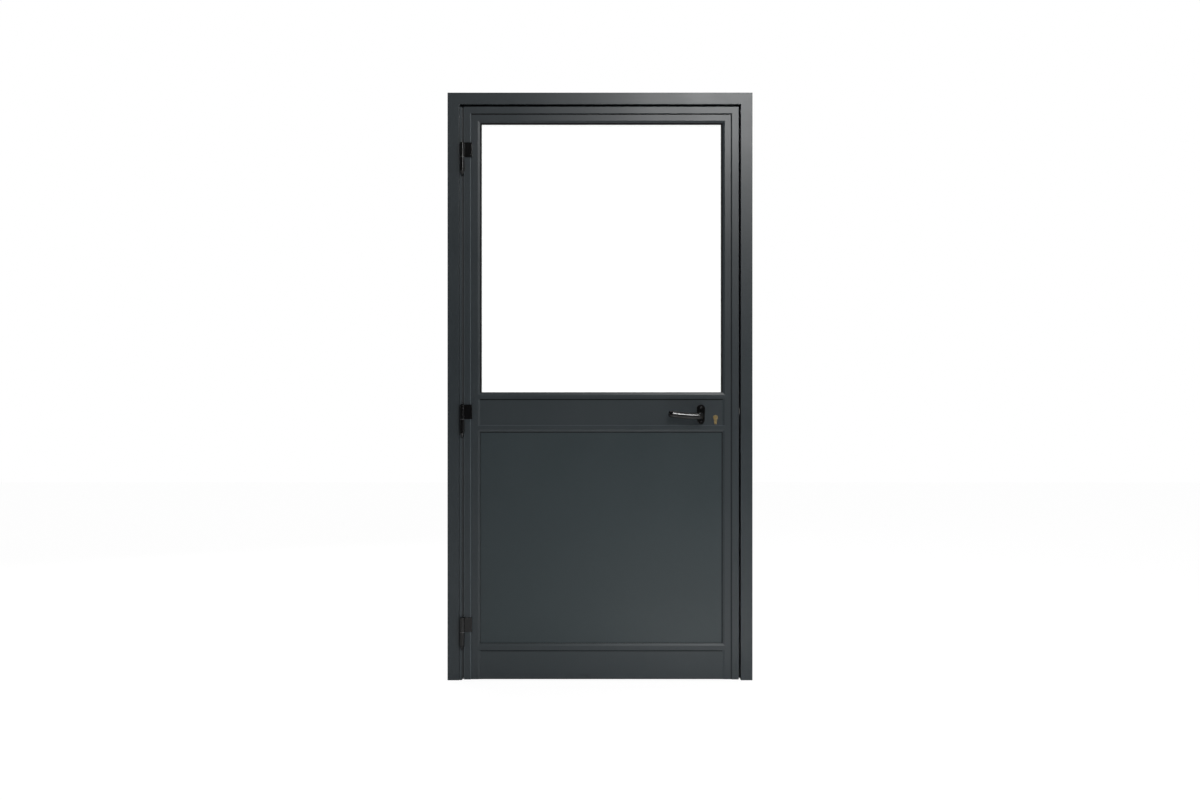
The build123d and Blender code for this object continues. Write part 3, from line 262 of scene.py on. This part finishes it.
def brushed_group():
    """Drawn metal: long thin streaks along x, in gloss and as a slight normal."""
    group, given, result, place = new_group(
        "brushed_metal",
        (("Gloss", FLOAT, 0.3), ("Streak", FLOAT, 0.15)),
        (("Roughness", FLOAT), ("Normal", VECTOR)),
    )
    stretch = group.nodes.new("ShaderNodeMapping")
    feed(group, stretch.inputs["Scale"], STREAK_STRETCH)
    feed(group, stretch.inputs["Vector"], place)
    streak = noise_node(group, stretch.outputs["Vector"], 1.0, STREAK_DETAIL)
    change = math_node(
        group, "MULTIPLY", math_node(group, "SUBTRACT", streak, 0.5), given["Streak"]
    )
    feed(group, result["Roughness"], math_node(group, "ADD", given["Gloss"], change))
    feed(group, result["Normal"], bump_node(group, streak, STREAK_RELIEF, STREAK_HEIGHT))
    return group


def line_group():
    """A mask for a painted line of shade or highlight: 1 on the front where one coordinate is
    within half a width.
    """
    group, given, result, place = new_group(
        "painted_light_line",
        (("Place", FLOAT, 0.0), ("Centre", FLOAT, 0.0), ("Half Width", FLOAT, 0.0015)),
        (("Mask", FLOAT),),
    )
    split = group.nodes.new("ShaderNodeSeparateXYZ")
    feed(group, split.inputs[0], place)
    front = math_node(group, "LESS_THAN", split.outputs["Y"], 0.0)
    near = math_node(group, "COMPARE", given["Place"], given["Centre"], given["Half Width"])
    feed(group, result["Mask"], math_node(group, "MULTIPLY", near, front))
    return group


COAT_GRAIN = coat_grain_group()
BRUSHED = brushed_group()
PAINTED_LIGHT_LINE = line_group()


def principled(name, base, roughness, metallic=0.0):
    """A node material; returns it, its node tree and its Principled shader."""
    mat = bpy.data.materials.new(name)
    mat.use_nodes = True
    shader = mat.node_tree.nodes["Principled BSDF"]
    shader.inputs["Base Color"].default_value = (*base, 1.0)
    shader.inputs["Roughness"].default_value = roughness
    shader.inputs["Metallic"].default_value = metallic
    return mat, mat.node_tree, shader


def painted_light_lines(tree, colour, gloss, lines):
    """Colour and roughness with each painted line laid over them: a dark line is painted shade and
    is matt as well, so it stays dark inside highlights; a light line is a painted highlight.
    """
    split = tree.nodes.new("ShaderNodeSeparateXYZ")
    feed(tree, split.inputs[0], tree.nodes.new("ShaderNodeTexCoord").outputs["Object"])
    for line in lines:
        mask = use_group(
            tree,
            PAINTED_LIGHT_LINE,
            {
                "Place": split.outputs[line.axis],
                "Centre": line.centre,
                "Half Width": line.half_width,
            },
        )
        change = math_node(tree, "MULTIPLY", mask["Mask"], line.darkness)
        gloss = math_node(tree, "ADD", gloss, math_node(tree, "MAXIMUM", change, 0.0))
        colour = scaled_colour(tree, colour, math_node(tree, "SUBTRACT", 1.0, change))
    return colour, gloss


def coated(name, base, roughness, drift, peel_size, peel_depth, specular=0.5, lines=()):
    """A powder coated, lacquered or moulded finish on Object coordinates, with any painted shade
    and highlight lines laid over it.
    """
    mat, tree, shader = principled(name, base, roughness)
    grain = use_group(
        tree,
        COAT_GRAIN,
        {
            "Colour": (*base, 1.0),
            "Drift": drift,
            "Gloss": roughness,
            "Peel Size": peel_size,
            "Peel Depth": peel_depth,
        },
    )
    colour, gloss = painted_light_lines(tree, grain["Colour"], grain["Roughness"], lines)
    feed(tree, shader.inputs["Base Color"], colour)
    feed(tree, shader.inputs["Roughness"], gloss)
    feed(tree, shader.inputs["Normal"], grain["Normal"])
    feed(tree, shader.inputs["Specular IOR Level"], specular)
    return mat


def metal(name, base, roughness, streak=0.2):
    mat, tree, shader = principled(name, base, roughness, metallic=1.0)
    brushed = use_group(tree, BRUSHED, {"Gloss": roughness, "Streak": streak})
    feed(tree, shader.inputs["Roughness"], brushed["Roughness"])
    feed(tree, shader.inputs["Normal"], brushed["Normal"])
    return mat


def anthracite(name, base=(0.035, 0.0435, 0.0487), lines=()):
    return coated(
        name, base, roughness=0.30, drift=0.06, peel_size=420.0, peel_depth=0.08, lines=lines
    )


def anthracite_panel():
    """The lower panel's coat, slightly bluer, with painted shade lines near the edge of its gasket
    at the top and right, where the bevels face away from the light.
    """
    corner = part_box("panel_front_gasket")[1]
    lines = (
        Line("Z", corner.z - PANEL_SHADE_LINE, half_width=0.0018, darkness=0.75),
        Line("X", corner.x - PANEL_SHADE_LINE, half_width=0.0018, darkness=0.6),
    )
    return anthracite("anthracite_panel", (0.0345, 0.0465, 0.0515), lines)


def clear_glass():
    mat, _, shader = principled("clear_glass", (0.985, 0.995, 0.99), 0.0)
    shader.inputs["Transmission Weight"].default_value = 1.0
    shader.inputs["IOR"].default_value = 1.52
    return mat


MATERIALS = {
    "anthracite_coat": anthracite("anthracite_coat"),
    "anthracite_panel": anthracite_panel(),
    "black_hardware": coated(
        "black_hardware",
        (0.0028, 0.0028, 0.003),
        roughness=0.17,
        drift=0.2,
        peel_size=700.0,
        peel_depth=0.03,
        specular=0.7,
    ),
    "clear_glass": clear_glass(),
    "black_rubber": coated(
        "black_rubber",
        (0.006, 0.006, 0.0065),
        roughness=0.75,
        drift=0.25,
        peel_size=1500.0,
        peel_depth=0.2,
        specular=0.3,
    ),
    "plain_aluminium": metal("plain_aluminium", (0.72, 0.73, 0.74), 0.38),
    "steel": metal("steel", (0.56, 0.56, 0.55), 0.32),
    "brass": metal("brass", (0.80, 0.60, 0.29), 0.26, streak=0.15),
    "grey_plastic": coated(
        "grey_plastic",
        (0.16, 0.165, 0.17),
        roughness=0.45,
        drift=0.08,
        peel_size=900.0,
        peel_depth=0.1,
    ),
    "brush_fibre": coated(
        "brush_fibre",
        (0.014, 0.014, 0.014),
        roughness=0.7,
        drift=0.6,
        peel_size=1200.0,
        peel_depth=0.4,
    ),
    "gap_rubber": coated(
        "gap_rubber",
        (0.030, 0.033, 0.036),
        roughness=0.55,
        drift=0.2,
        peel_size=1500.0,
        peel_depth=0.2,
    ),
}


def painted_light_finishes():
    """Coats with painted shade and highlight lines for the profiles that show a step or a groove,
    and near-black steel as painted shade on the lock's plates.
    """
    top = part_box("top_rail")[1].z
    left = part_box("hinge_stile")[0].x
    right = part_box("lock_stile")[1].x
    mid_low, mid_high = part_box("mid_rail")
    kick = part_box("bottom_rail")[1].z
    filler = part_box("hinge_side_filler")[0].x
    # Painted highlights: light lines on the hinge stile's rounded outer edge and at its band step,
    # where the edges catch the light
    hinge_stile_highlights = (
        Line("X", left + HINGE_STILE_EDGE, half_width=0.0012, darkness=-0.9),
        Line("X", left + HINGE_STILE_STEP, half_width=0.0014, darkness=-1.2),
    )
    # Painted highlight: a light strip on the filler's face beside its groove
    filler_highlight = Line("X", filler + FILLER_GROOVE, half_width=0.0024, darkness=-0.45)
    # Painted shadow: a dark line under the top rail's band step
    top_rail_shadow = Line("Z", top - TOP_RAIL_STEP, half_width=0.0019, darkness=0.8)
    # Painted shadow: a dark line beside the lock stile's band step
    lock_stile_shadow = Line("X", right - LOCK_STILE_STEP, half_width=0.0017, darkness=0.6)
    # Painted shade: a dark line at the groove under the mid rail's upper strip; painted highlight:
    # a light line along the top edge of its lower strip
    mid_rail_shade_and_highlight = (
        Line("Z", mid_high.z - MID_RAIL_STEP, half_width=0.0019, darkness=0.85),
        Line("Z", mid_low.z + MID_RAIL_LOWER_STEP, half_width=0.0012, darkness=-0.9),
    )
    # Painted shade: a dark line at the groove under the kick rail's strip
    kick_shadow = Line("Z", kick - KICK_STEP, half_width=0.0018, darkness=0.75)
    # Painted shade: the strike plate and lock faceplate get near-black steel so that the lock-side
    # gap stays shaded
    painted_shade_steel = metal("painted_shade_steel", (0.03, 0.031, 0.033), 0.45)
    return {
        "hinge_stile": anthracite("coat_hinge_stile", lines=hinge_stile_highlights),
        "hinge_side_filler": anthracite("coat_filler", lines=(filler_highlight,)),
        "top_rail": anthracite("coat_top_rail", lines=(top_rail_shadow,)),
        "lock_stile": anthracite("coat_lock_stile", lines=(lock_stile_shadow,)),
        "mid_rail": anthracite("coat_mid_rail", lines=mid_rail_shade_and_highlight),
        "bottom_rail": anthracite("coat_bottom_rail", lines=(kick_shadow,)),
        "strike_plate": painted_shade_steel,
        "lock_faceplate": painted_shade_steel,
    }


def dress_nodes():
    """Every CAD node takes the finish of its slot in the record, or its own version of it with
    painted shade and highlight.
    """
    slots = {row["node"]: row["material_slot"] for row in frame["record"]["subparts"]}
    own = painted_light_finishes()
    for name, node in nodes.items():
        node.data.materials.clear()
        node.data.materials.append(own.get(name) or MATERIALS[slots[name]])


def finish_piece(name, material, body):
    """Name the active new object, settle its place in its mesh, and let it ride on a body."""
    piece = bpy.context.active_object
    piece.name = name
    bpy.ops.object.transform_apply(location=True, rotation=True, scale=True)
    piece.data.materials.clear()
    piece.data.materials.append(MATERIALS[material])
    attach(piece, body)
    return piece


def join_new(pieces):
    bpy.ops.object.select_all(action="DESELECT")
    for piece in pieces:
        piece.select_set(True)
    bpy.context.view_layer.objects.active = pieces[0]
    bpy.ops.object.join()


def apply_modifier(kind, **settings):
    piece = bpy.context.active_object
    modifier = piece.modifiers.new(kind.lower(), kind)
    for key, value in settings.items():
        setattr(modifier, key, value)
    bpy.ops.object.modifier_apply(modifier=modifier.name)


def bar(low, high, edge):
    """A bar between two corners with its edges rounded."""
    low, high = Vector(low), Vector(high)
    bpy.ops.mesh.primitive_cube_add(size=1.0, location=(low + high) / 2)
    piece = bpy.context.active_object
    piece.scale = high - low
    bpy.ops.object.transform_apply(location=True, rotation=True, scale=True)
    apply_modifier("BEVEL", width=edge, segments=2)
    return piece


def make_gap_seal():
    """A fin seal in the hinge-side joint, in runs between the hinges."""
    filler_low, filler_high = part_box("hinge_side_filler")
    leaf_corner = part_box("hinge_stile")[0]
    left = filler_high.x - GAP_SEAL_GRIP
    right = leaf_corner.x - GAP_SEAL_LEAF_ROOM
    front = leaf_corner.y + GAP_SEAL_DEPTH
    ends = [filler_low.z + GAP_SEAL_FOOT_ROOM]
    for level in ("bottom", "middle", "top"):
        ends.append(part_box("hinge_lower_" + level)[0].z - GAP_SEAL_HINGE_ROOM)
        ends.append(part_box("hinge_upper_" + level)[1].z + GAP_SEAL_HINGE_ROOM)
    ends.append(filler_high.z - GAP_SEAL_HEAD_ROOM)
    runs = [
        bar((left, front, low), (right, front + GAP_SEAL_THICK, high), GAP_SEAL_EDGE)
        for low, high in zip(ends[0::2], ends[1::2])
    ]
    join_new(runs)
    finish_piece("hinge_gap_seal", "gap_rubber", "frame")


def dish_cap(cap, outward):
    """Press a shallow dish into the cap's outer face and round its rims."""
    bpy.ops.object.select_all(action="DESELECT")
    cap.select_set(True)
    bpy.context.view_layer.objects.active = cap
    for face in cap.data.polygons:
        face.select = face.normal.y * outward > CAP_FACING
    bpy.ops.object.mode_set(mode="EDIT")
    bpy.ops.mesh.select_mode(type="FACE")
    bpy.ops.mesh.inset(thickness=CAP_RIM, depth=0.0)
    bpy.ops.mesh.inset(thickness=CAP_SLOPE, depth=-CAP_DISH)
    bpy.ops.mesh.select_all(action="DESELECT")
    bpy.ops.object.mode_set(mode="OBJECT")
    apply_modifier(
        "BEVEL",
        width=CAP_ROUNDING,
        segments=2,
        limit_method="ANGLE",
        angle_limit=CAP_EDGE_ANGLE,
    )


def make_rose_caps():
    """Two dished screw caps on each rose, over and under the lever."""
    for side, rose in (("front", "front_rose"), ("back", "back_rose")):
        low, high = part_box(rose)
        outward, face = (-1.0, low.y) if side == "front" else (1.0, high.y)
        x = (low.x + high.x) / 2
        middle = (low.z + high.z) / 2
        caps = []
        for z in (middle - CAP_BELOW, middle + CAP_ABOVE):
            bpy.ops.mesh.primitive_cylinder_add(
                vertices=CAP_SEGMENTS,
                radius=CAP_RADIUS,
                depth=CAP_DEPTH,
                location=(x, face, z),
                rotation=(-outward * math.pi / 2, 0.0, 0.0),
            )
            cap = bpy.context.active_object
            bpy.ops.object.transform_apply(location=True, rotation=True, scale=True)
            dish_cap(cap, outward)
            caps.append(cap)
        join_new(caps)
        finish_piece(side + "_rose_caps", "black_hardware", "leaf")
        bpy.ops.object.shade_smooth_by_angle(angle=CAP_SMOOTH_ANGLE)


def make_brush_pile():
    """The brush seal as rows of nylon tufts under its strip."""
    low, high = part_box("floor_brush")
    count = int((high.x - low.x) / TUFT_PITCH) - 1
    tuft_top = low.z + TUFT_LENGTH
    rows = []
    for row in range(TUFT_ROWS):
        x = low.x + TUFT_PITCH * (TUFT_FIRST_SHIFT + TUFT_SHIFT_STEP * row)
        y = low.y + (high.y - low.y) * (TUFT_FIRST_ROW + TUFT_ROW_STEP * row)
        bpy.ops.mesh.primitive_cone_add(
            vertices=TUFT_SIDES,
            radius1=TUFT_FOOT,
            radius2=TUFT_TIP,
            depth=tuft_top - low.z,
            location=(x, y, (tuft_top + low.z) / 2),
        )
        apply_modifier(
            "ARRAY",
            count=count,
            use_relative_offset=False,
            use_constant_offset=True,
            constant_offset_displace=(TUFT_PITCH, 0.0, 0.0),
        )
        rows.append(bpy.context.active_object)
    rows.append(bar((low.x, low.y, tuft_top - TUFT_OVERLAP), high, BRUSH_STRIP_EDGE))
    join_new(rows)
    pile = finish_piece("floor_brush_pile", "brush_fibre", "leaf")
    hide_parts("floor_brush")


def area_light(name, location, target, size, power):
    data = bpy.data.lights.new(name, "AREA")
    data.shape = "RECTANGLE"
    data.size, data.size_y = size
    data.energy = power
    lamp = bpy.data.objects.new(name, data)
    bpy.context.scene.collection.objects.link(lamp)
    lamp.location = location
    direction = Vector(target) - Vector(location)
    lamp.rotation_euler = direction.to_track_quat("-Z", "Y").to_euler()
    return lamp


def make_lights():
    """A soft box high behind the camera, two cards on its right, a low fill and a back light."""
    area_light(
        "key", location=(1.05, -6.0, 3.6), target=(0.2, 0.0, 1.5), size=(0.7, 0.7), power=82.0
    )
    area_light(
        "upper_card", location=(1.9, -3.7, 4.0), target=(0.1, 0.0, 1.1), size=(2.0, 2.0), power=30.0
    )
    area_light(
        "side_card", location=(3.0, -4.0, 2.0), target=(-0.3, 0.0, 1.3), size=(0.7, 1.4), power=20.0
    )
    low_fill = area_light(
        "low_fill", location=(0.5, -1.0, 0.05), target=(0.15, 0.0, 0.0), size=(0.9, 0.3), power=6.0
    )
    low_fill.visible_glossy = False
    area_light(
        "back_fill", location=(-2.2, 3.4, 2.6), target=(0.0, 0.0, 1.0), size=(2.0, 2.0), power=40.0
    )


def seen_rays(tree, path):
    """1 for the rays that show the background itself: the camera's, and those through the glass."""
    return math_node(
        tree, "MAXIMUM", path.outputs["Is Camera Ray"], path.outputs["Is Transmission Ray"]
    )


def make_world():
    """White wherever it is seen; as a light, soft from all sides but dark in front."""
    world = bpy.data.worlds.new("studio")
    bpy.context.scene.world = world
    world.use_nodes = True
    tree = world.node_tree
    tree.nodes.clear()
    path = tree.nodes.new("ShaderNodeLightPath")
    split = tree.nodes.new("ShaderNodeSeparateXYZ")
    feed(tree, split.inputs[0], tree.nodes.new("ShaderNodeTexCoord").outputs["Generated"])

    side = math_node(tree, "MULTIPLY", split.outputs["X"], WORLD_SIDE)
    lift = math_node(tree, "MULTIPLY", split.outputs["Z"], WORLD_LIFT)
    level = math_node(tree, "ADD", math_node(tree, "ADD", side, lift), WORLD_LEVEL)
    clear = tree.nodes.new("ShaderNodeMapRange")
    clear.interpolation_type = "SMOOTHSTEP"
    feed(tree, clear.inputs["Value"], split.outputs["Y"])
    feed(tree, clear.inputs["From Min"], FRONT_DARK)
    feed(tree, clear.inputs["From Max"], FRONT_CLEAR)
    feed(tree, clear.inputs["To Min"], WORLD_FRONT)
    feed(tree, clear.inputs["To Max"], 1.0)
    level = math_node(tree, "MULTIPLY", level, clear.outputs["Result"])
    dim = math_node(tree, "MULTIPLY", path.outputs["Is Glossy Ray"], 1.0 - WORLD_MIRRORED)
    level = math_node(tree, "MULTIPLY", level, math_node(tree, "SUBTRACT", 1.0, dim))

    behind = math_node(tree, "GREATER_THAN", split.outputs["Y"], BACK_WHITE)
    mirrored = math_node(tree, "MULTIPLY", path.outputs["Is Glossy Ray"], behind)
    plain = math_node(tree, "MAXIMUM", seen_rays(tree, path), mirrored)
    through = math_node(tree, "MULTIPLY", path.outputs["Is Transmission Ray"], GLASS_LOSS)
    strength = tree.nodes.new("ShaderNodeMix")
    strength.data_type = "FLOAT"
    feed(tree, strength.inputs["Factor"], plain)
    feed(tree, strength.inputs[MIX_A], level)
    feed(tree, strength.inputs[MIX_B], math_node(tree, "ADD", through, 1.0))

    background = tree.nodes.new("ShaderNodeBackground")
    feed(tree, background.inputs["Color"], (1.0, 1.0, 1.0, 1.0))
    feed(tree, background.inputs["Strength"], strength.outputs[0])
    output = tree.nodes.new("ShaderNodeOutputWorld")
    feed(tree, output.inputs["Surface"], background.outputs[0])


def make_floor():
    """A pale floor that keeps the object's shadow and meets the white behind it."""
    bpy.ops.mesh.primitive_plane_add(size=FLOOR_SIZE, location=(0.0, 0.0, 0.0))
    floor = bpy.context.active_object
    floor.name = "floor"
    mat, tree, shader = principled("pale_floor", (FLOOR_TONE,) * 3, FLOOR_ROUGHNESS)
    glow = tree.nodes.new("ShaderNodeEmission")
    feed(tree, glow.inputs["Color"], (1.0, 1.0, 1.0, 1.0))
    feed(tree, glow.inputs["Strength"], FLOOR_GLOW)
    seen = seen_rays(tree, tree.nodes.new("ShaderNodeLightPath"))
    mix = tree.nodes.new("ShaderNodeMixShader")
    feed(tree, mix.inputs[0], math_node(tree, "MULTIPLY", seen, FLOOR_GLOW_SHARE))
    feed(tree, mix.inputs[1], shader.outputs[0])
    feed(tree, mix.inputs[2], glow.outputs[0])
    feed(tree, tree.nodes["Material Output"].inputs["Surface"], mix.outputs[0])
    floor.data.materials.append(mat)


def make_camera():
    """Straight on, level, at the height and distance that give the photo's framing."""
    data = bpy.data.cameras.new("camera")
    data.sensor_width = SENSOR_WIDTH
    data.lens = SENSOR_WIDTH * CAMERA_DISTANCE / (PHOTO_WIDTH * PIXEL)
    camera = bpy.data.objects.new("camera", data)
    bpy.context.scene.collection.objects.link(camera)
    height = (FLOOR_LINE_ROW - PHOTO_HEIGHT / 2) * PIXEL
    face_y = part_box("left_jamb")[0].y
    camera.location = (0.0, face_y - CAMERA_DISTANCE, height)
    camera.rotation_euler = (math.radians(90.0), 0.0, 0.0)
    bpy.context.scene.camera = camera


make_camera()
bpy.ops.object.select_all(action="DESELECT")
dress_nodes()
make_gap_seal()
make_rose_caps()
make_brush_pile()
make_world()
make_lights()
make_floor()
bpy.context.scene.view_settings.view_transform = "Standard"
